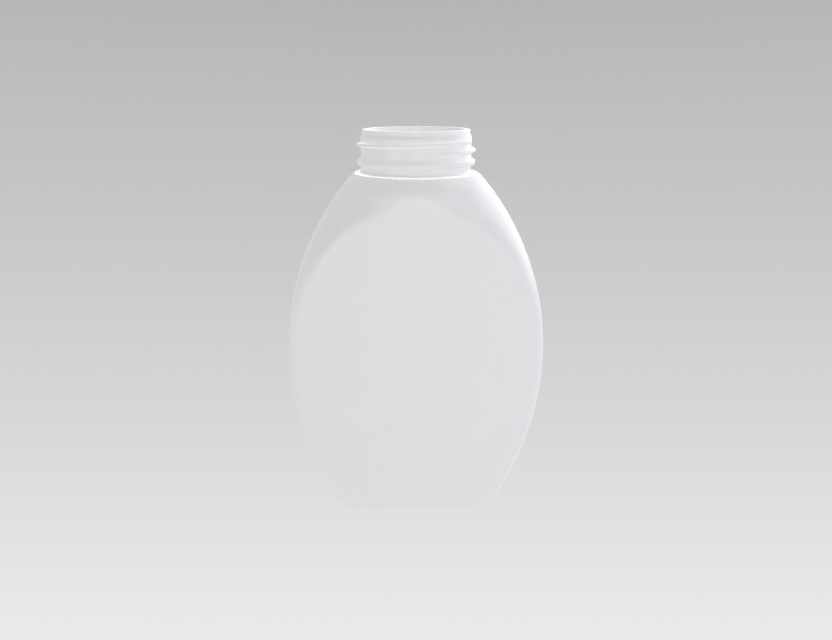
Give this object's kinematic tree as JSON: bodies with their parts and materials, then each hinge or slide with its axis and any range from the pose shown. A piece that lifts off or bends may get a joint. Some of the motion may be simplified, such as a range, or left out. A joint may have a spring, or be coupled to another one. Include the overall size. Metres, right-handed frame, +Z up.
{
  "type": "honey squeeze bottle",
  "caption": "Plain flattened oval squeeze bottle for honey, with curved front and back panels, sloping shoulders and an open threaded neck.",
  "frame": {"origin": "middle of the standing face, on the neck's axis", "axes": "+Z up along the neck's axis, -Y out of the front panel, +X to the right seen from the front"},
  "size_m": [0.0844, 0.0446, 0.1235],
  "materials": {
    "bottle_plastic": "gloss"
  },
  "bodies": {
    "root": {"bottle": "bottle_plastic"}
  },
  "joints": []
}
